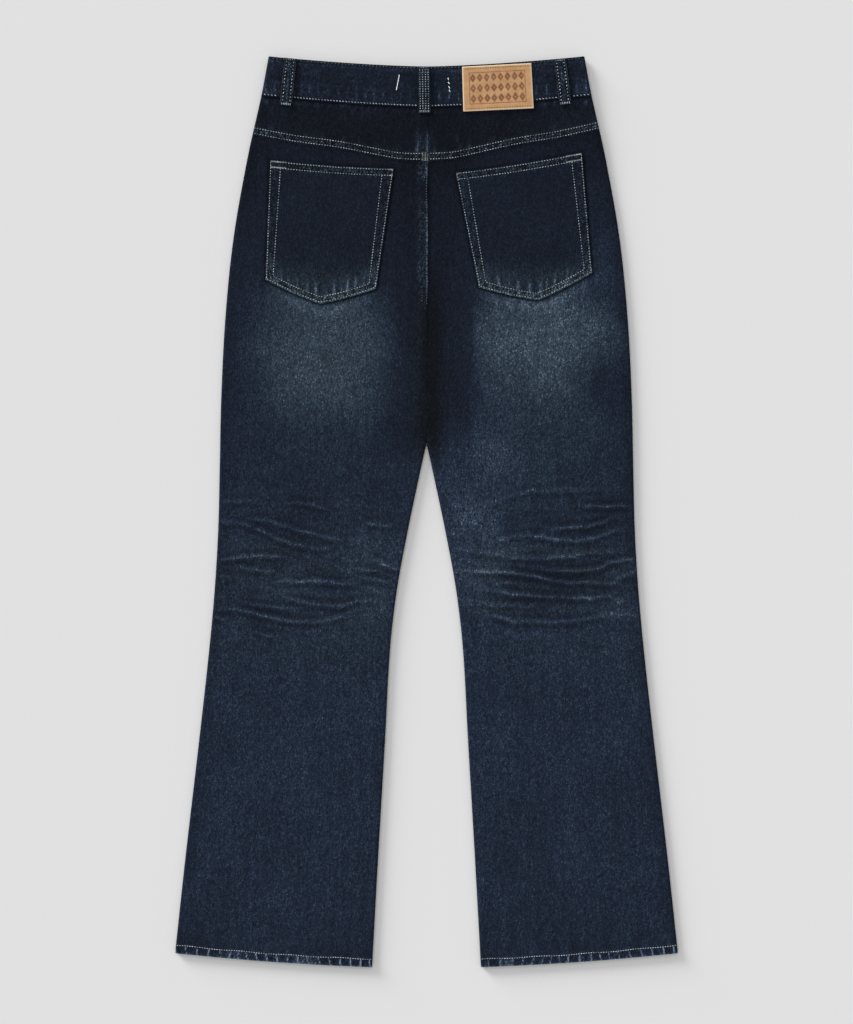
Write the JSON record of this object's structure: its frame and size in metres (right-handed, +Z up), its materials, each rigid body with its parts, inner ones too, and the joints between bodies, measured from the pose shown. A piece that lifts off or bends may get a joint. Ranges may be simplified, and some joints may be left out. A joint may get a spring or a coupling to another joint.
{
  "type": "bootcut jeans",
  "caption": "Dark denim bootcut jeans lying flat, back uppermost, with a yoke, patch pockets, belt loops and a plain leather patch; legs narrow to the knee and flare to the hem.",
  "frame": {"origin": "centre of the footprint, on the surface that the jeans lie on", "axes": "+Y towards the waist, along the legs; +Z up, out of the back of the jeans; -X is the wearer's left"},
  "size_m": [0.5738, 1.038, 0.0123],
  "materials": {
    "denim": "dark indigo twill, washed, matte",
    "leather": "tan leather, stamped, semi-matte",
    "button": "aged, satin"
  },
  "bodies": {
    "root": {"back_left": "denim", "back_right": "denim", "yoke_left": "denim", "yoke_right": "denim", "pocket_left": "denim", "pocket_right": "denim", "front_left": "denim", "front_right": "denim", "facing_left": "denim", "facing_right": "denim", "fly": "denim", "waistband": "denim", "loop_back_left": "denim", "loop_back_centre": "denim", "loop_back_right": "denim", "loop_front_left": "denim", "loop_front_right": "denim", "patch": "leather", "button": "button"}
  },
  "joints": []
}
